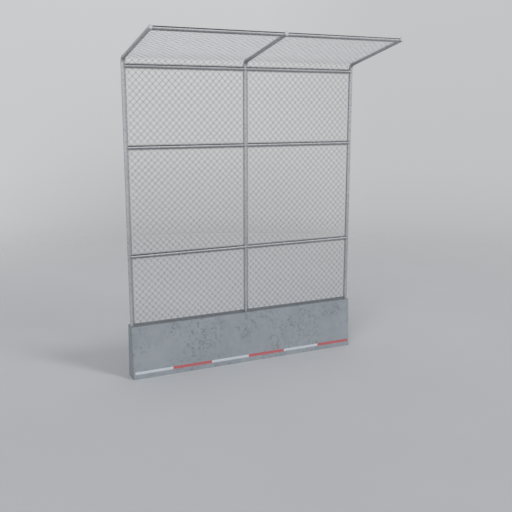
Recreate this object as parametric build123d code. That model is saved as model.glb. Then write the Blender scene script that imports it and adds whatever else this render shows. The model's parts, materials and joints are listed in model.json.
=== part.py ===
"""Catch fence section: two bays of chain link on steel posts, carried by a long concrete barrier block.

Millimetres, +Z up. X runs along the barrier, and the overhanging top reaches towards -Y.
The origin is the middle of the block's underside.
"""

import os
from math import atan2, cos, hypot, radians, sin, tan

from build123d import *

# Concrete barrier block
block_length = 4000.0
block_height = 855.0
block_top_width = 200.0
block_base_width = 290.0
block_arris = 8.0

# Round steel tube, used for posts and rails alike. Every end is closed, so the bore isn't modelled
tube_diameter = 60.3
weld_gap = 0.3

# Posts: upright shaft, one welded elbow, then a rising arm over the front
post_line = -30.0
arm_tip_height = 5220.0
arm_reach = 1350.0
arm_rise = 290.0
arm_overrun = 34.0
bend_radius = 76.0

# Rails: the upper one hangs below the bend, the others stand at shares of its height above the block
upper_rail_drop = 110.0
middle_rail_share = 0.70
lower_rail_share = 0.28

# Steel plates cast flush into the block's top, with flat anchor straps below
plate_length = 150.0
plate_width = 100.0
plate_thickness = 12.0
plate_clearance = 0.3
strap_spacing = 90.0
strap_width = 50.0
strap_thickness = 8.0
strap_depth = 120.0
strap_toe = 25.0

# Bevelled caps that close the arms' ends
cap_thickness = 8.0
cap_bevel = 3.0

# Mesh panels: the wires' common sheet, with diamonds at nearly four times the real pitch
mesh_thickness = 6.0
mesh_strand = 16.0
mesh_edge_bar = 16.0
mesh_columns = 5
mesh_fit_clearance = 0.3
mesh_ground_clearance = 8.0

# Coloured marker strips along the front face
strip_count = 6
strip_margin = 25.0
strip_end_length = 631.0
strip_height = 45.0
strip_thickness = 2.0
strip_centre_height = 100.0

# Sizes that follow from those above
tube_radius = tube_diameter / 2
post_spacing = block_length / 2 - tube_radius
bend_height = arm_tip_height - arm_rise
upper_rail_height = bend_height - upper_rail_drop
rail_climb = upper_rail_height - block_height
middle_rail_height = block_height + middle_rail_share * rail_climb
lower_rail_height = block_height + lower_rail_share * rail_climb
arm_angle = atan2(arm_rise, arm_reach)
arm_direction = Vector(0, -cos(arm_angle), sin(arm_angle))
arm_tip = Vector(0, post_line - arm_reach, arm_tip_height)
arm_length = hypot(arm_reach, arm_rise)
bend_tangent = bend_radius * tan((radians(90) - arm_angle) / 2)
clear_width = post_spacing - tube_diameter - 2 * mesh_fit_clearance
batter = (block_base_width - block_top_width) / 2 / block_height
batter_angle = atan2(batter, 1)
strip_run = block_length - 2 * strip_margin
strip_pitch = (strip_run - 2 * strip_end_length) / (strip_count - 2)

posts = {"left": -post_spacing, "middle": 0.0, "right": post_spacing}
bays = {"left": (posts["left"], posts["middle"]), "right": (posts["middle"], posts["right"])}
rails = {"lower": lower_rail_height, "middle": middle_rail_height, "upper": upper_rail_height}


def plate_centre(x):
    """Middle of a cast-in plate: under its post, but never past the block's end."""
    limit = block_length / 2 - plate_length / 2
    return max(-limit, min(limit, x))


def anchored_plate(x, clearance):
    """A plate flush with the block's top and the hooked straps under it, grown by a clearance."""
    top_down = (Align.CENTER, Align.CENTER, Align.MAX)
    length = plate_length + 2 * clearance
    width = plate_width + 2 * clearance
    body = Box(length, width, plate_thickness, align=top_down)
    strap_across = strap_thickness + 2 * clearance
    strap_along = strap_width + 2 * clearance
    strap = Box(strap_across, strap_along, strap_depth + clearance, align=top_down)
    toe = Box(strap_toe + 2 * clearance, strap_along, strap_across, align=top_down)
    toe_height = strap_thickness + clearance - strap_depth
    for side in (-1, 1):
        toe_shift = -side * (strap_toe - strap_thickness) / 2
        place = Pos(side * strap_spacing / 2, 0, -plate_thickness)
        body += place * (strap + Pos(toe_shift, 0, toe_height) * toe)
    return Pos(plate_centre(x), post_line, block_height) * body


def barrier_block():
    """Battered precast block, bevelled along its top and its upright corners."""
    half_top = block_top_width / 2
    half_base = block_base_width / 2
    outline = Polygon(
        (-half_base, 0), (half_base, 0), (half_top, block_height), (-half_top, block_height), align=None
    )
    profile = Plane.YZ.offset(-block_length / 2) * outline
    block = extrude(profile, block_length)
    long_top = block.edges().filter_by(Axis.X).group_by(Axis.Z)[-1]
    uprights = [e for e in block.edges() if e.bounding_box().size.Z > block_height / 2]
    block = chamfer(list(long_top) + uprights, block_arris)
    for x in posts.values():
        block -= anchored_plate(x, plate_clearance)
    return block


def cast_in_plate(x):
    """One plate under a post, with its anchor straps in the concrete."""
    return anchored_plate(x, 0)


def marker_strip(index):
    """One coloured strip, bonded flat to the battered front face."""
    half_run = strip_run / 2
    joints = [-half_run + strip_end_length + i * strip_pitch for i in range(strip_count - 1)]
    start, stop = ([-half_run] + joints + [half_run])[index : index + 2]
    face_y = -block_base_width / 2 + batter * strip_centre_height
    outward = Vector(0, -cos(batter_angle), sin(batter_angle))
    plane = Plane(origin=((start + stop) / 2, face_y, strip_centre_height), x_dir=(1, 0, 0), z_dir=outward)
    return extrude(plane * Rectangle(stop - start, strip_height), strip_thickness)


def post(x):
    """Post standing on its plate, with its elbow and the arm beyond it."""
    foot = (x, post_line, block_height)
    corner = (x, post_line, bend_height)
    arm_end = arm_tip + arm_direction * arm_overrun
    path = FilletPolyline(foot, corner, (x, arm_end.Y, arm_end.Z), radius=bend_radius)
    return sweep(Pos(foot) * Circle(tube_radius), path=path)


def arm_cap(x):
    """Bevelled disc that closes an arm's end."""
    end = arm_tip + arm_direction * arm_overrun
    seat = Plane(origin=(x, end.Y, end.Z), x_dir=(1, 0, 0), z_dir=arm_direction)
    disc = Cylinder(tube_radius, cap_thickness, align=(Align.CENTER, Align.CENTER, Align.MIN))
    rim = disc.edges().sort_by(Axis.Z)[-1]
    return seat * chamfer(rim, cap_bevel)


def tube_between(x_start, x_stop, y, z):
    """Tube along X between two post axes, before its ends are coped."""
    return Pos((x_start + x_stop) / 2, y, z) * Rot(0, 90, 0) * Cylinder(tube_radius, x_stop - x_start)


def cope_cutter(x, point, direction):
    """Post or arm outline, grown by the weld gap, that shapes a rail's end."""
    plane = Plane(origin=(x, point.Y, point.Z), z_dir=direction)
    return plane * Cylinder(tube_radius + weld_gap, 2 * tube_diameter)


def rail(bay, height):
    """Rail in the post plane, coped onto the upright at either end."""
    body = tube_between(*bay, post_line, height)
    for x in bay:
        body -= cope_cutter(x, Vector(0, post_line, height), Vector(0, 0, 1))
    return body


def front_rail(bay):
    """Rail along the arms' tips, coped onto the arm at either end."""
    body = tube_between(*bay, arm_tip.Y, arm_tip.Z)
    for x in bay:
        body -= cope_cutter(x, arm_tip, arm_direction)
    return body


def diamond_holes(width, height, rows):
    """Open diamonds of a mesh panel, clipped by the bars along its edges."""
    cell_width = width / mesh_columns
    cell_height = height / rows
    shrink = 1 - mesh_strand / (cell_width * cell_height / hypot(cell_width, cell_height))
    half_x = cell_width / 2 * shrink
    half_y = cell_height / 2 * shrink
    diamond = Polygon((half_x, 0), (0, half_y), (-half_x, 0), (0, -half_y), align=None)
    holes = Sketch() + [
        Pos(cell_width * (i / 2 - mesh_columns / 2), cell_height * (j / 2 - rows / 2)) * diamond
        for i in range(2 * mesh_columns + 1)
        for j in range(2 * rows + 1)
        if (i + j) % 2 == 1
    ]
    return holes & Rectangle(width - 2 * mesh_edge_bar, height - 2 * mesh_edge_bar)


def rows_for(height):
    """Whole rows of diamonds nearest to square for a panel of this height."""
    return max(1, round(height / (clear_width / mesh_columns)))


def mesh_panel(bay, bottom, top):
    """Flat chain link panel in the posts' centre plane."""
    height = top - bottom
    plane = Plane(
        origin=((bay[0] + bay[1]) / 2, post_line + mesh_thickness / 2, (bottom + top) / 2),
        x_dir=(1, 0, 0),
        z_dir=(0, -1, 0),
    )
    panel = Rectangle(clear_width, height) - diamond_holes(clear_width, height, rows_for(height))
    return extrude(plane * panel, mesh_thickness)


def canopy_sheet(bay):
    """Bent sheet from the upper rail, round the bend and out to the front rail."""
    rail_face = tube_radius + mesh_fit_clearance
    outer = arm_tip - arm_direction * rail_face
    foot = (post_line, upper_rail_height + rail_face)
    path = FilletPolyline(foot, (post_line, bend_height), (outer.Y, outer.Z), radius=bend_radius)
    band = Plane.YZ.offset((bay[0] + bay[1] - clear_width) / 2) * trace(path, line_width=mesh_thickness)
    return extrude(band, clear_width)


def canopy_mesh(bay):
    """Overhanging chain link of one bay, with a first row of diamonds round the bend."""
    middle = (bay[0] + bay[1]) / 2
    rail_face = tube_radius + mesh_fit_clearance
    bend_end = Vector(middle, post_line, bend_height) + arm_direction * bend_tangent
    slope_length = arm_length - bend_tangent - rail_face
    slope_centre = bend_end + arm_direction * (slope_length / 2)
    slope_normal = Vector(0, -sin(arm_angle), -cos(arm_angle))
    slope = Plane(origin=slope_centre, x_dir=(1, 0, 0), z_dir=slope_normal)

    foot = Vector(middle, post_line, upper_rail_height + rail_face)
    chord = bend_end - foot
    bend = Plane(
        origin=foot + chord * 0.5, x_dir=(1, 0, 0), z_dir=Vector(1, 0, 0).cross(chord.normalized())
    )
    sheet = canopy_sheet(bay)
    slope_holes = diamond_holes(clear_width, slope_length, rows_for(slope_length))
    bend_holes = diamond_holes(clear_width, chord.length, 1)
    sheet -= extrude(slope * slope_holes, mesh_thickness, both=True)
    return sheet - extrude(bend * bend_holes, bend_radius, both=True)


def build():
    """Every node by name."""
    nodes = {"barrier_block": barrier_block()}
    for index in range(strip_count):
        nodes[f"marker_strip_{index + 1}"] = marker_strip(index)
    for side, x in posts.items():
        nodes[f"cast_in_plate_{side}"] = cast_in_plate(x)
        nodes[f"post_{side}"] = post(x)
        nodes[f"arm_cap_{side}"] = arm_cap(x)
    rail_face = tube_radius + mesh_fit_clearance
    for side, bay in bays.items():
        bottom = block_height + mesh_ground_clearance
        for level, height in rails.items():
            nodes[f"{level}_rail_{side}"] = rail(bay, height)
            nodes[f"{level}_mesh_{side}"] = mesh_panel(bay, bottom, height - rail_face)
            bottom = height + rail_face
        nodes[f"front_rail_{side}"] = front_rail(bay)
        nodes[f"canopy_mesh_{side}"] = canopy_mesh(bay)
    return nodes


os.makedirs("parts", exist_ok=True)
for name, shape in build().items():
    export_step(shape, f"parts/{name}.step")
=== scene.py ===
"""Looks of the catch fence section: woven nets, edge wires, hooks, welds, materials and studio."""

import json
import math

import bpy
import numpy as np
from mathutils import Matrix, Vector

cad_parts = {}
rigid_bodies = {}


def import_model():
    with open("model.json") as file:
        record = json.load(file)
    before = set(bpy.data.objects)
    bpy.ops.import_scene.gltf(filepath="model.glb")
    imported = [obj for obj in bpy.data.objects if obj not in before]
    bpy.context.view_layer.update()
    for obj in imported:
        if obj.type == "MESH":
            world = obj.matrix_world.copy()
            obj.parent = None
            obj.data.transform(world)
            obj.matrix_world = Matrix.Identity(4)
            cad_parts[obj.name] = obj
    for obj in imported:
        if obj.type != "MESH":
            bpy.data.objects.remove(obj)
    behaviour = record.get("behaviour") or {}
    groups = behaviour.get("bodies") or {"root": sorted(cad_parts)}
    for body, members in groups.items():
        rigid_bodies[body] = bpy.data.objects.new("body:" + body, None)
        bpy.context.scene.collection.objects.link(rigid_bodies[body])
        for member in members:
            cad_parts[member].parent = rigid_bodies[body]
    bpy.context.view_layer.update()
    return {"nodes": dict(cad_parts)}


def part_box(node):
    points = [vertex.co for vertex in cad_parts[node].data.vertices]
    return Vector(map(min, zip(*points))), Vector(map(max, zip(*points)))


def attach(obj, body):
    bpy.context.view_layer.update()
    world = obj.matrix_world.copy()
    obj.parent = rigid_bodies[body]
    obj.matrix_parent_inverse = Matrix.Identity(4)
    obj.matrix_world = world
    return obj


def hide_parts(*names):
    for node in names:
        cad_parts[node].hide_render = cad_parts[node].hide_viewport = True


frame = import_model()
nodes = frame["nodes"]
rng = np.random.default_rng(7)

# Sizes of the frame, in metres. Tubes, wires and beads are given by their radius
TUBE = 0.0603 / 2
POST_LINE = -0.030
BEND_HEIGHT = 4.930
BEND_RADIUS = 0.076
ARM_REACH = 1.350
ARM_RISE = 0.290
STRIP_MIDDLE = 0.100
STRIP_FOOT = 0.078
BLOCK_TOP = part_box("barrier_block")[1].z
POSTS = {side: sum(c.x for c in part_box(f"arm_cap_{side}")) / 2 for side in ("left", "middle", "right")}
BAYS = {"left": ("left", "middle"), "right": ("middle", "right")}
RAILS = {level: sum(c.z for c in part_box(f"{level}_rail_left")) / 2 for level in ("lower", "middle", "upper")}

ARM_ANGLE = math.atan2(ARM_RISE, ARM_REACH)
ARM = np.array([0, -math.cos(ARM_ANGLE), math.sin(ARM_ANGLE)])
ARM_TIP = np.array([0, POST_LINE - ARM_REACH, BEND_HEIGHT + ARM_RISE])
UP = np.array([0, 0, 1.0])
BEND_TURN = math.pi / 2 - ARM_ANGLE
BEND_TANGENT = BEND_RADIUS * math.tan(BEND_TURN / 2)
BEND_START = BEND_HEIGHT - BEND_TANGENT

# Chain link: wires side by side, strokes of each wire, and the bends that hook them together
WIRE = 0.0042 / 2
WIRES = 37
STROKES = {"lower": 20, "middle": 31, "upper": 21, "canopy": 27}
WIRE_SIDES = 6
WEAVE = 0.55 * 2 * WIRE
LOOP = 0.0048
JITTER = 0.0009
WAVE = 0.0022
FLAT_SAG = 0.001
CANOPY_SAG = 0.008
KNUCKLE = np.radians([0, 45, 90, 135, 180])
KNUCKLE_GAP = 0.0001
KNUCKLE_SHIFT = 1.1 * WIRE

# Edge wires round the nets, and the hooks that hold them to the tubes
EDGE_WIRE = 0.005 / 2
EDGE_GAP = 0.007
EDGE_BEND = 0.010
EDGE_POINTS = 58
NET_GAP = TUBE + EDGE_GAP
GROUND_GAP = 0.008
HOOK_WIRE = 0.005 / 2
HOOK_EVERY = 6
HOOK_REACH = EDGE_GAP + 0.0015
# Outline of a hook: out from the edge wire, into the tube at both ends, and to either side of it
HOOK_OUT = np.array([HOOK_REACH, 0.001, -0.0035, -0.005, -0.0035, 0.001, HOOK_REACH])
HOOK_OFF = (EDGE_WIRE + HOOK_WIRE) * np.array([1, 1, 0.7, 0, -0.7, -1, -1])
ROD_SIDES = 8

# Weld beads, how far their middle stands off the tube, and half of their opening at the section's ends
BEAD_SIDES = 6
RAIL_BEAD = 0.0030
RAIL_BEAD_ROUNDING = 0.0025
FOOT_BEAD = 0.0035
FOOT_STANDOFF = 0.0015
FOOT_OPENING = math.radians(36)
ELBOW_BEAD = 0.0021
ELBOW_STANDOFF = 0.0002
ELBOW_OPENING = math.radians(27)
MIDDLE_OPENING = math.radians(0.1)
SADDLE_POINTS = 120
COLLAR_POINTS = 110
RIPPLE = 0.13
RIPPLE_TURN = 0.9 * np.pi
UNEVENNESS = 0.05

# Height above the block at which the painted light on the posts' feet ends
FOOT_LIGHT_REACH = 1.1

# Floor disc, and how far from the section it starts and ends to fade
FLOOR_RADIUS = 90
FLOOR_POINTS = 96
FADE_START = 4.0
FADE_END = 18.0

# The studio's greys by the parts of a direction. Seen and mirrored: by height, for most of the backdrop
# and for the part behind the fence, darker as a painted shadow, with that shadow's share from left to right
OVERHEAD = ((0.06, 0.592), (0.14, 0.60), (0.24, 0.80), (0.60, 0.80), (0.76, 0.10), (1, 0.06))
BACKDROP = (
    (-1, 0.42), (-0.29, 0.47), (-0.235, 0.485), (-0.183, 0.519), (-0.138, 0.554), (-0.082, 0.584), *OVERHEAD
)
SHADOWED_BACKDROP = ((-1, 0.40), (-0.29, 0.43), (-0.21, 0.43), (-0.183, 0.445), (-0.12, 0.505), (-0.05, 0.558), *OVERHEAD)
PAINTED_SHADOW_SHARE = ((-1, 0.0), (0.09, 0.0), (0.25, 1.0), (0.45, 1.0), (0.55, 0.2), (0.70, 0.2), (1, 0.0))
# Both are dimmer towards the right. Only what metal mirrors is brighter in front
SIDEWAYS = ((-1, 1.0), (0.44, 1.0), (0.57, 0.93), (1, 0.92))
MIRRORED_FRONT = ((-1, 1.85), (0.2, 1.85), (0.86, 1.0), (1, 1.0))
# What lights dull surfaces: by height, and from front to back
SOFT_LIGHT = ((-1, 0.40), (0, 0.52), (0.3, 0.44), (1, 0.22))
SOFT_FRONT = ((-1, 1.27), (0, 1.0), (1, 0.75))
GREY_TINT = (0.9935, 1, 1.007)


def unit(vectors):
    """Vectors of length one."""
    return vectors / np.linalg.norm(vectors, axis=-1, keepdims=True)


def tubes(name, groups, sides, closed=False):
    """One mesh of round wires. Each group is (paths, radius): paths is (wires, points, 3)."""
    vertices, quads, ends, start = [], [], [], 0
    turn = np.linspace(0, 2 * np.pi, sides, endpoint=False)
    for paths, radius in groups:
        paths = np.asarray(paths, float)
        count, points = paths.shape[:2]
        ahead = np.roll(paths, -1, axis=1)
        behind = np.roll(paths, 1, axis=1)
        if not closed:
            ahead[:, -1] = paths[:, -1]
            behind[:, 0] = paths[:, 0]
        tangent = unit(ahead - behind)
        # Each ring starts at its X side, or at its Z side where the wire sets off along X
        side = np.where(np.abs(tangent[:, 0, :1]) < 0.8, [[1.0, 0, 0]], [[0, 0, 1.0]])
        rings = np.empty((count, points, sides, 3))
        radius = np.broadcast_to(radius, (points,))
        for i in range(points):
            t = tangent[:, i]
            side = unit(side - (side * t).sum(-1, keepdims=True) * t)
            other = np.cross(t, side)
            spoke = side[:, None] * np.cos(turn)[:, None] + other[:, None] * np.sin(turn)[:, None]
            rings[:, i] = paths[:, i, None] + radius[i] * spoke
        index = start + np.arange(count * points * sides).reshape(count, points, sides)
        following = np.roll(index, -1, axis=1) if closed else index[:, 1:]
        current = index if closed else index[:, :-1]
        corners = [current, np.roll(current, -1, axis=2), np.roll(following, -1, axis=2), following]
        quads.append(np.stack(corners, axis=-1).reshape(-1, 4))
        if not closed:
            ends += index[:, 0, ::-1].tolist() + index[:, -1].tolist()
        vertices.append(rings.reshape(-1, 3))
        start += count * points * sides
    mesh = bpy.data.meshes.new(name)
    mesh.from_pydata(np.concatenate(vertices).tolist(), [], np.concatenate(quads).tolist() + ends)
    mesh.polygons.foreach_set("use_smooth", np.ones(len(mesh.polygons), bool))
    piece = bpy.data.objects.new(name, mesh)
    bpy.context.scene.collection.objects.link(piece)
    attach(piece, "root")
    return piece


def flat_place(bottom):
    """Places points of a window in the post plane: along it, across it and out towards the front."""
    return lambda s, x, n: np.stack(np.broadcast_arrays(x, POST_LINE - n, bottom + s), axis=-1)


def canopy_place(bottom):
    """The same for riser, bend and slope of the overhanging net. Its front is the underside."""
    arc = BEND_RADIUS * BEND_TURN
    riser = BEND_START - bottom

    def place(s, x, n):
        s, x, n = np.broadcast_arrays(s, x, n)
        angle = np.clip((s - riser) / BEND_RADIUS, 0, BEND_TURN)
        reach = BEND_RADIUS - n
        climb = np.minimum(s - riser, 0)
        run = np.maximum(s - riser - arc, 0)
        y = POST_LINE - BEND_RADIUS + reach * np.cos(angle) + run * ARM[1]
        z = BEND_START + reach * np.sin(angle) + climb + run * ARM[2]
        return np.stack([x, y, z], axis=-1)

    return place


def chain_link(level, bay, left, right, length, place, sag):
    """Zigzag wires, each hooked into its neighbours and knuckled round the edge wires at both ends."""
    strokes = STROKES[level]
    columns = np.linspace(left, right, WIRES + 1)
    rows = np.linspace(0, length, strokes + 1)
    wobble = rng.normal(0, JITTER, (2, WIRES + 1, strokes + 1))
    wobble[:, [0, -1]] = 0
    wobble[:, :, [0, -1]] = 0
    crossing_x = columns[:, None] + wobble[0]
    crossing_s = rows[None, :] + wobble[1]
    # Three are used. The fourth is drawn so that the draws after it stay the same
    phase = rng.uniform(0, 2 * np.pi, 4)

    def belly(x, s):
        """How far the net stands off its plane, nothing at its edges."""
        u = (x - left) / (right - left)
        v = s / length
        wave = np.sin(5 * u + phase[0]) * np.cos(4 * v + phase[1]) + np.sin(9 * v + phase[2] + 3 * u)
        return np.sin(np.pi * u) * np.sin(np.pi * v) * (sag + WAVE * wave)

    # Four points of each bend: out round the neighbour, along the net and from its front to its back
    bend_x = LOOP * np.array([0, 1, 1, 0])
    bend_s = LOOP * np.array([-1, -0.38, 0.38, 1])
    bend_n = WEAVE * np.array([1, 0.5, -0.5, -1])
    ring = EDGE_WIRE + WIRE + KNUCKLE_GAP
    knuckle_s = ring * np.sin(KNUCKLE)
    knuckle_n = ring * np.cos(KNUCKLE)
    j = np.arange(strokes + 1)
    paths = []
    for k in range(WIRES):
        right_side = (j + k) % 2 == 0
        out = np.where(right_side, 1.0, -1.0)
        x = crossing_x[k + right_side, j]
        s = crossing_s[k + right_side, j]
        px = (x[:, None] + bend_x * out[:, None]).ravel()[4:-4]
        ps = (s[:, None] + bend_s).ravel()[3:-3]
        pn = (bend_n * out[:, None]).ravel()[3:-3]
        # The ends stand side by side with the neighbour's on the edge wire
        first, last = out[0], out[-1]
        first_x = np.full(len(KNUCKLE) + 2, x[0] - first * KNUCKLE_SHIFT)
        last_x = np.full(len(KNUCKLE) + 2, x[-1] - last * KNUCKLE_SHIFT)
        px = np.concatenate([first_x, px, last_x])
        ps = np.concatenate([[ring], -knuckle_s, ps, length + knuckle_s[::-1], [length - ring]])
        pn = np.concatenate([[first * ring], first * knuckle_n, pn, last * knuckle_n, [-last * ring]])
        paths.append(place(ps, px, pn + belly(px, ps)))
    piece = tubes(f"{level}_net_{bay}", [(np.array(paths), WIRE)], WIRE_SIDES)
    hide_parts(f"{level}_mesh_{bay}")
    return columns, rows


def edge_wire(left, right, length, place):
    """Rounded rectangle of wire round one window."""
    quarter = np.radians(np.linspace(0, 90, 5))
    corners = (
        (right - EDGE_BEND, EDGE_BEND, -90),
        (right - EDGE_BEND, length - EDGE_BEND, 0),
        (left + EDGE_BEND, length - EDGE_BEND, 90),
        (left + EDGE_BEND, EDGE_BEND, 180),
    )
    arcs = []
    for x, s, start in corners:
        angle = quarter + math.radians(start)
        arcs.append(np.stack([x + EDGE_BEND * np.cos(angle), s + EDGE_BEND * np.sin(angle)], axis=-1))
    along = np.linspace(0, 1, EDGE_POINTS + 2)[1:-1, None]
    loop = []
    for arc, following in zip(arcs, arcs[1:] + arcs[:1]):
        loop += [arc, arc[-1] + along * (following[0] - arc[-1])]
    x, s = np.concatenate(loop).T
    return place(s, x, 0.0)


def hooks(columns, rows, length, place, with_bottom):
    """Bent rods on the tubes that hold the edge wire, each at a knuckle or a bend of the net."""
    odd = (len(rows) - 1) % 2
    found = []
    for i in range(4, WIRES, HOOK_EVERY):
        found.append(place(length + HOOK_OUT, columns[i + odd], HOOK_OFF))
        if with_bottom:
            found.append(place(-HOOK_OUT, columns[i], HOOK_OFF))
    for j in range(3, len(rows) - 1, HOOK_EVERY):
        found.append(place(rows[j + 1], columns[0] - HOOK_OUT, HOOK_OFF))
        found.append(place(rows[j], columns[-1] + HOOK_OUT, HOOK_OFF))
    return found


def weld_bead(points, size):
    """Rippled bead along a seam."""
    count = len(points)
    ripple = 1 + RIPPLE * np.cos(RIPPLE_TURN * np.arange(count)) + rng.normal(0, UNEVENNESS, count)
    return points[None], size * ripple


def saddle(x, centre, side, axis):
    """Seam of a rail's end on an upright or an arm of the same size."""
    t = np.linspace(0, 2 * np.pi, SADDLE_POINTS, endpoint=False)
    across = np.cross([1.0, 0, 0], axis)
    out = side * np.hypot(TUBE * np.sin(t), RAIL_BEAD_ROUNDING)
    ring = TUBE * (np.cos(t)[:, None] * across + np.sin(t)[:, None] * axis)
    return np.array(centre) + ring + np.stack([x + out, 0 * t, 0 * t], axis=-1)


def collar(x, centre, axis, radius, outward, opening):
    """Seam round a tube, open towards the section's end where the tube is flush with it."""
    t = np.linspace(opening, 2 * np.pi - opening, COLLAR_POINTS)
    out = np.array([outward, 0, 0])
    across = np.cross(axis, out)
    ring = np.cos(t)[:, None] * out + np.sin(t)[:, None] * across
    return np.array([x, 0, 0]) + np.array(centre) + radius * ring


def build_nets():
    """Four nets in each bay, with the wires round them and the hooks that hold them."""
    slope = ARM_REACH / math.cos(ARM_ANGLE) - BEND_TANGENT - NET_GAP
    edges, hook_paths = [], []
    for bay, (first, last) in BAYS.items():
        left = POSTS[first] + NET_GAP
        right = POSTS[last] - NET_GAP
        bottom = BLOCK_TOP + GROUND_GAP
        windows = []
        for level, height in RAILS.items():
            windows.append((level, height - NET_GAP - bottom, flat_place(bottom), FLAT_SAG))
            bottom = height + NET_GAP
        length = BEND_START - bottom + BEND_RADIUS * BEND_TURN + slope
        windows.append(("canopy", length, canopy_place(bottom), CANOPY_SAG))
        for level, length, place, sag in windows:
            grid = chain_link(level, bay, left, right, length, place, sag)
            edges.append(edge_wire(left, right, length, place))
            hook_paths += hooks(*grid, length, place, with_bottom=level != "lower")
    tubes("edge_wires", [(np.array(edges), EDGE_WIRE)], ROD_SIDES, closed=True)
    tubes("mesh_hooks", [(np.array(hook_paths), HOOK_WIRE)], ROD_SIDES)


def build_welds():
    """Beads at the rails' ends, the posts' feet and both ends of each elbow."""
    seams = []
    for first, last in BAYS.values():
        for end, side in ((first, 1), (last, -1)):
            for height in RAILS.values():
                seams.append(weld_bead(saddle(POSTS[end], (0, POST_LINE, height), side, UP), RAIL_BEAD))
            seams.append(weld_bead(saddle(POSTS[end], ARM_TIP, side, ARM), RAIL_BEAD))
    tubes("rail_welds", seams, BEAD_SIDES, closed=True)

    foot = (0, POST_LINE, BLOCK_TOP + FOOT_STANDOFF)
    elbow_start = (0, POST_LINE, BEND_START)
    elbow_end = np.array([0, POST_LINE, BEND_HEIGHT]) + ARM * BEND_TANGENT
    collars = (
        (foot, UP, FOOT_STANDOFF, FOOT_OPENING, FOOT_BEAD),
        (elbow_start, UP, ELBOW_STANDOFF, ELBOW_OPENING, ELBOW_BEAD),
        (elbow_end, ARM, ELBOW_STANDOFF, ELBOW_OPENING, ELBOW_BEAD),
    )
    seams = []
    for name, x in POSTS.items():
        outward = -1.0 if name == "left" else 1.0
        for centre, axis, standoff, opening, bead in collars:
            opening = MIDDLE_OPENING if name == "middle" else opening
            seams.append(weld_bead(collar(x, centre, axis, TUBE + standoff, outward, opening), bead))
    tubes("post_welds", seams, BEAD_SIDES)


class Shader:
    """One node material, with short ways to add nodes and to link them."""

    def __init__(self, name, **values):
        self.material = bpy.data.materials.new(name)
        self.material.use_nodes = True
        self.nodes = self.material.node_tree.nodes
        self.links = self.material.node_tree.links
        self.surface = self.nodes["Principled BSDF"]
        for key, value in values.items():
            self.surface.inputs[key.replace("_", " ").title().replace("Ior", "IOR")].default_value = value
        self.place = self.nodes.new("ShaderNodeTexCoord").outputs["Object"]

    def add(self, kind, inputs=(), **settings):
        """New node. Each input is a socket to link or a value to set."""
        node = self.nodes.new("ShaderNode" + kind)
        for key, value in settings.items():
            setattr(node, key, value)
        for key, value in dict(inputs).items():
            if isinstance(value, bpy.types.NodeSocket):
                self.links.new(value, node.inputs[key])
            else:
                node.inputs[key].default_value = value
        return node

    def height(self):
        return self.add("SeparateXYZ", {"Vector": self.place}).outputs["Z"]

    def stretched(self, scale=(1, 1, 1), shift=(0, 0, 0)):
        return self.add("Mapping", {"Vector": self.place, "Scale": scale, "Location": shift}).outputs[0]

    def noise(self, scale, detail=4, roughness=0.55, distortion=0.0, where=None):
        values = {"Vector": where or self.place, "Scale": scale, "Detail": detail}
        values |= {"Roughness": roughness, "Distortion": distortion}
        return self.add("TexNoise", values).outputs["Fac"]

    def cells(self, scale, output="Distance", where=None):
        return self.add("TexVoronoi", {"Vector": where or self.place, "Scale": scale}).outputs[output]

    def fit(self, value, low, high, to_low=0.0, to_high=1.0):
        """Value between low and high, spread over the new range and kept within it."""
        values = {"Value": value, "From Min": low, "From Max": high, "To Min": to_low, "To Max": to_high}
        return self.add("MapRange", values).outputs["Result"]

    def math(self, operation, a, b=0.0):
        return self.add("Math", {0: a, 1: b}, operation=operation).outputs[0]

    def times(self, a, b):
        return self.math("MULTIPLY", a, b)

    def blend(self, amount, a, b, mode="MIX"):
        """Colour b over colour a, by an amount."""
        return self.add("Mix", {0: amount, 6: a, 7: b}, data_type="RGBA", blend_type=mode).outputs[2]

    def shade(self, colour, roughness=None, bumps=()):
        """Link colour and roughness to the surface, and its bumps, each (height, distance), one on another."""
        self.links.new(colour, self.surface.inputs["Base Color"])
        if roughness is not None:
            self.links.new(roughness, self.surface.inputs["Roughness"])
        normal = None
        for height, distance in bumps:
            values = {"Height": height, "Distance": distance}
            if normal is not None:
                values["Normal"] = normal
            normal = self.add("Bump", values).outputs["Normal"]
        if normal is not None:
            self.links.new(normal, self.surface.inputs["Normal"])
        return self.material


def rgb(r, g, b):
    """Colour of a socket."""
    return (r, g, b, 1.0)


def dimmed(tone, share):
    """Tone times a share, white at most."""
    return rgb(*(min(1.0, share * c) for c in tone))


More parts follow.
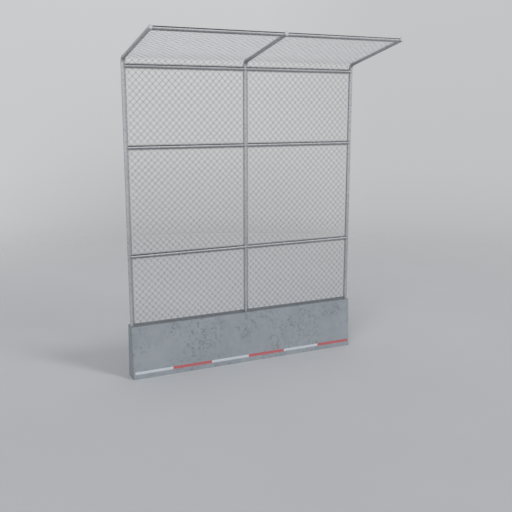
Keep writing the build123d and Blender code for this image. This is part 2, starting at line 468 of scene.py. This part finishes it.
def concrete():
    """Cast concrete with clouds, clusters of worm-like marks, blots, pits and specks of dust."""
    s = Shader("concrete", specular_ior_level=0.35)
    clouds = s.fit(s.noise(1.6, 5, 0.6), 0.3, 0.7)
    mottle = s.fit(s.noise(7.5, 6, 0.62, 0.4), 0.32, 0.68)
    colour = s.blend(clouds, rgb(0.205, 0.229, 0.251), rgb(0.255, 0.279, 0.302))
    colour = s.blend(s.times(mottle, 0.45), colour, rgb(0.300, 0.325, 0.345))
    # The marks come in clusters, with smooth areas between
    cluster = s.fit(s.noise(2.3, 3, 0.5, where=s.stretched(shift=(3.1, 0, 1.7))), 0.40, 0.58)
    vein = s.math("ABSOLUTE", s.math("SUBTRACT", s.noise(12, 2, 0.5, 1.2), 0.5))
    breaks = s.fit(s.noise(17, 2, 0.5, where=s.stretched(shift=(0, 5.2, 0.6))), 0.47, 0.55)
    worms = s.times(s.times(s.fit(vein, 0.07, 0.015), cluster), breaks)
    colour = s.blend(s.times(worms, 0.75), colour, rgb(0.125, 0.140, 0.160))
    blots = s.times(s.fit(s.noise(20, 3, 0.6, 0.8), 0.60, 0.68), cluster)
    colour = s.blend(s.times(blots, 0.42), colour, rgb(0.150, 0.165, 0.185))
    pits = s.times(s.fit(s.cells(34), 0.16, 0.06), s.fit(s.noise(5, 2), 0.50, 0.58))
    colour = s.blend(s.times(pits, 0.55), colour, rgb(0.12, 0.13, 0.145))
    dust = s.fit(s.cells(27, where=s.stretched(shift=(0.4, 0.9, 0.2))), 0.10, 0.04)
    colour = s.blend(s.times(dust, 0.35), colour, rgb(0.42, 0.44, 0.46))
    grain = s.noise(260, 3, 0.6)
    colour = s.blend(s.fit(grain, 0.3, 0.7, 0.0, 0.22), colour, rgb(0.20, 0.22, 0.235))
    rough = s.fit(mottle, 0, 1, 0.78, 0.92)
    pores = s.math("SUBTRACT", 1.0, pits)
    bumps = ((s.noise(11, 5, 0.6), 0.004), (pores, 0.0025), (grain, 0.0006))
    return s.shade(colour, rough, bumps)


def galvanised(name, tone, grain, rough_range, painted_light_foot=False, overhead_painted_light=1.0):
    """Spangled zinc with streaks along its grain and pale bloom. Past the bend its colour can be brightened,
    and towards the block painted paler: both painted light.
    """
    s = Shader(name, metallic=1.0)
    shade = s.add("SeparateColor", {"Color": s.cells(75, "Color")}).outputs[0]
    colour = s.blend(shade, dimmed(tone, 0.80), dimmed(tone, 1.08))
    streak = s.fit(s.noise(1.0, 4, 0.6, where=s.stretched(grain)), 0.40, 0.66)
    colour = s.blend(s.times(streak, 0.35), colour, dimmed(tone, 0.62))
    bloom = s.fit(s.noise(22, 5, 0.65), 0.56, 0.74)
    colour = s.blend(s.times(bloom, 0.45), colour, dimmed(tone, 1.16))
    # Painted light: past the bend the colour is multiplied brighter, for arms and canopy wires that face down
    if overhead_painted_light != 1.0:
        painted_light_past_bend = s.fit(s.height(), BEND_START - 0.02, BEND_HEIGHT + 0.08)
        colour = s.blend(painted_light_past_bend, colour, rgb(overhead_painted_light, overhead_painted_light, overhead_painted_light), "MULTIPLY")
    # Painted light: towards the block the colour turns paler in a dusty pattern, brightening the posts' feet
    if painted_light_foot:
        low = s.fit(s.height(), BLOCK_TOP + FOOT_LIGHT_REACH, BLOCK_TOP)
        dust = s.times(low, s.fit(s.noise(30, 4), 0.25, 0.5))
        colour = s.blend(s.times(dust, 0.72), colour, rgb(0.70, 0.71, 0.72))
    rough = s.math("ADD", s.fit(shade, 0, 1, *rough_range), s.fit(bloom, 0, 1, 0, 0.14))
    fine = s.noise(1.0, 3, where=s.stretched(tuple(6 * g for g in grain)))
    return s.shade(colour, rough, ((fine, 0.00016), (shade, 0.0001)))


def marking(name, tone, dirt):
    """Marker strip with a fine comb of cells, lengthwise scuffs, and grime along its lower edge."""
    s = Shader(name, coat_weight=0.25, coat_roughness=0.25)
    fade = s.fit(s.noise(5, 4, 0.6), 0.3, 0.7)
    colour = s.blend(fade, dimmed(tone, 0.90), rgb(*tone))
    comb = s.cells(190)
    colour = s.blend(s.fit(comb, 0.25, 0.6, 0, 0.10), colour, dimmed(tone, 0.6))
    scuff = s.fit(s.noise(1.0, 5, 0.7, where=s.stretched((9, 60, 190))), 0.60, 0.70)
    colour = s.blend(s.times(scuff, 0.45), colour, rgb(*dirt))
    grime = s.times(s.fit(s.height(), STRIP_MIDDLE, STRIP_FOOT), s.fit(s.noise(28, 4), 0.35, 0.65))
    colour = s.blend(s.times(grime, 0.5), colour, rgb(*dirt))
    rough = s.math("ADD", s.fit(fade, 0, 1, 0.42, 0.52), s.times(scuff, 0.3))
    return s.shade(colour, rough, ((comb, 0.0004), (s.noise(16, 3), 0.0012)))


def plate_steel():
    """Dull plate with mill scale and a little rust."""
    s = Shader("plate_steel", metallic=0.85)
    scale = s.fit(s.noise(38, 5, 0.65, 0.5), 0.35, 0.65)
    colour = s.blend(scale, rgb(0.20, 0.21, 0.22), rgb(0.36, 0.37, 0.38))
    rust = s.fit(s.noise(60, 5, 0.7), 0.62, 0.74)
    colour = s.blend(s.times(rust, 0.4), colour, rgb(0.19, 0.12, 0.08))
    return s.shade(colour, s.fit(scale, 0, 1, 0.62, 0.46), ((s.noise(150, 4), 0.0007),))


def cap_metal():
    """Mottled, finely grained metal of the arms' caps."""
    s = Shader("cap_metal", metallic=1.0)
    fine = s.noise(1.0, 3, 0.6, where=s.stretched((260, 260, 260)))
    colour = s.blend(s.fit(s.noise(45, 4), 0.35, 0.65), rgb(0.44, 0.45, 0.47), rgb(0.55, 0.56, 0.58))
    return s.shade(colour, s.fit(fine, 0.3, 0.7, 0.42, 0.58), ((fine, 0.0003),))


def dress():
    """Every shown piece and frame node gets its material."""
    looks = {
        "stone": concrete(),
        "upright": galvanised(
            "galvanised_upright",
            (0.447, 0.456, 0.466),
            (34, 34, 1.6),
            (0.26, 0.36),
            # Painted light on the posts: paler feet, and brighter past the bend
            painted_light_foot=True,
            overhead_painted_light=1.3,
        ),
        "level": galvanised("galvanised_level", (0.445, 0.453, 0.462), (1.6, 34, 34), (0.18, 0.28)),
        "weld": galvanised("galvanised_weld", (0.48, 0.49, 0.50), (90, 90, 90), (0.42, 0.60)),
        # Painted light: the wires past the bend are brighter
        "wire": galvanised("galvanised_wire", (0.30, 0.31, 0.33), (60, 60, 14), (0.36, 0.52), overhead_painted_light=2.45),
        "white": marking("white_marking", (0.49, 0.52, 0.56), (0.30, 0.31, 0.32)),
        "red": marking("red_marking", (0.41, 0.098, 0.108), (0.24, 0.15, 0.14)),
        "plate": plate_steel(),
        "cap": cap_metal(),
    }
    starts = {"barrier_block": "stone", "cast_in_plate": "plate", "arm_cap": "cap", "post_": "upright"}
    starts |= {f"marker_strip_{i}": "white" if i % 2 else "red" for i in range(1, 7)}
    for name, node in nodes.items():
        look = next((look for start, look in starts.items() if name.startswith(start)), "level")
        node.material_slots[0].material = looks[look]
    for piece in bpy.context.scene.objects:
        if piece.type == "MESH" and piece.name not in nodes:
            wire = "_net_" in piece.name or piece.name == "edge_wires"
            piece.data.materials.append(looks["wire" if wire else "weld"])


def floor():
    """Pale floor that fades into the backdrop far away."""
    turn = np.linspace(0, 2 * np.pi, FLOOR_POINTS, endpoint=False)
    vertices = [(FLOOR_RADIUS * math.cos(a), FLOOR_RADIUS * math.sin(a), 0.0) for a in turn]
    mesh = bpy.data.meshes.new("floor")
    mesh.from_pydata(vertices, [], [tuple(range(FLOOR_POINTS))])
    ground = bpy.data.objects.new("floor", mesh)
    bpy.context.scene.collection.objects.link(ground)
    s = Shader("floor", roughness=0.9, specular_ior_level=0.2)
    clouds = s.fit(s.noise(0.35, 3), 0.3, 0.7)
    s.shade(s.blend(clouds, rgb(0.675, 0.686, 0.711), rgb(0.693, 0.704, 0.729)))
    distance = s.add("VectorMath", {0: s.place}, operation="LENGTH").outputs["Value"]
    reach = {"Value": distance, "From Min": FADE_START, "From Max": FADE_END}
    fade = s.add("MapRange", reach, interpolation_type="SMOOTHSTEP").outputs["Result"]
    clear = s.add("BsdfTransparent").outputs[0]
    mix = s.add("MixShader", {0: fade, 1: s.surface.outputs[0], 2: clear})
    s.links.new(mix.outputs[0], s.nodes["Material Output"].inputs["Surface"])
    mesh.materials.append(s.material)


def world():
    """Studio surroundings by direction: what the camera and the metal see, and what lights the rest."""
    studio = bpy.data.worlds.new("studio")
    bpy.context.scene.world = studio
    studio.use_nodes = True
    add = studio.node_tree.nodes.new
    link = studio.node_tree.links.new
    split = add("ShaderNodeSeparateXYZ")
    link(add("ShaderNodeTexCoord").outputs["Generated"], split.inputs[0])

    def gradient(axis, stops):
        """Grey by one part of the direction, from -1 to 1. Stops are (value, grey)."""
        spread = add("ShaderNodeMapRange")
        spread.inputs["From Min"].default_value = -1
        spread.inputs["From Max"].default_value = 1
        link(split.outputs[axis], spread.inputs["Value"])
        ramp = add("ShaderNodeValToRGB")
        elements = ramp.color_ramp.elements
        for _ in stops[2:]:
            elements.new(0.5)
        for element, (value, grey) in zip(elements, stops):
            element.position = (value + 1) / 2
            element.color = rgb(*(grey * tint for tint in GREY_TINT))
        link(spread.outputs["Result"], ramp.inputs["Fac"])
        return ramp.outputs["Color"]

    def combine(a, b, share=None):
        """Both multiplied, or a share of the second mixed into the first."""
        node = add("ShaderNodeMix")
        node.data_type = "RGBA"
        node.blend_type = "MULTIPLY" if share is None else "MIX"
        node.inputs[0].default_value = 1.0
        if share is not None:
            link(share, node.inputs[0])
        link(a, node.inputs[6])
        link(b, node.inputs[7])
        return node.outputs[2]

    rays = add("ShaderNodeLightPath").outputs
    # Behind the fence the backdrop gets a painted shadow, also in what metal mirrors
    height = combine(gradient("Z", BACKDROP), gradient("Z", SHADOWED_BACKDROP), gradient("X", PAINTED_SHADOW_SHARE))
    seen = combine(height, gradient("X", SIDEWAYS))
    mirrored = combine(seen, gradient("Y", MIRRORED_FRONT))
    shown = studio.node_tree.nodes["Background"]
    link(combine(seen, mirrored, rays["Is Glossy Ray"]), shown.inputs["Color"])
    soft = add("ShaderNodeBackground")
    link(combine(gradient("Z", SOFT_LIGHT), gradient("Y", SOFT_FRONT)), soft.inputs["Color"])

    direct = rays["Is Camera Ray"]
    for ray in ("Is Glossy Ray", "Is Transmission Ray"):
        either = add("ShaderNodeMath")
        either.operation = "MAXIMUM"
        link(direct, either.inputs[0])
        link(rays[ray], either.inputs[1])
        direct = either.outputs[0]
    mix = add("ShaderNodeMixShader")
    link(direct, mix.inputs[0])
    link(soft.outputs[0], mix.inputs[1])
    link(shown.outputs[0], mix.inputs[2])
    link(mix.outputs[0], studio.node_tree.nodes["World Output"].inputs["Surface"])


def soft_sun(name, azimuth, elevation, width, strength):
    """Wide, even lamp, in degrees. Its azimuth is counted from the front towards the right."""
    data = bpy.data.lights.new(name, "SUN")
    data.angle = math.radians(width)
    data.energy = strength
    lamp = bpy.data.objects.new(name, data)
    azimuth, elevation = math.radians(azimuth), math.radians(elevation)
    level = math.cos(elevation)
    towards = Vector((math.sin(azimuth) * level, -math.cos(azimuth) * level, math.sin(elevation)))
    lamp.rotation_euler = towards.to_track_quat("Z", "Y").to_euler()
    # Metal shows the studio's surroundings, and no round lamp
    lamp.visible_glossy = False
    bpy.context.scene.collection.objects.link(lamp)


def camera(lens, location, down, right):
    """The photograph's view, turned down and to the right, in radians, from a level look along +Y."""
    data = bpy.data.cameras.new("camera")
    data.lens = lens
    data.sensor_width = 36
    eye = bpy.data.objects.new("camera", data)
    eye.location = location
    eye.rotation_euler = (math.pi / 2 - down, 0, -right)
    bpy.context.scene.collection.objects.link(eye)
    bpy.context.scene.camera = eye


build_nets()
build_welds()
dress()
floor()
world()
soft_sun("key", azimuth=34, elevation=21, width=16, strength=1.22)
soft_sun("fill", azimuth=-46, elevation=11, width=26, strength=1.48)
soft_sun("back", azimuth=165, elevation=42, width=100, strength=0.42)
camera(lens=50.02, location=(-4.853, -10.554, 4.192), down=0.203, right=0.4468)
bpy.context.scene.view_settings.view_transform = "Standard"
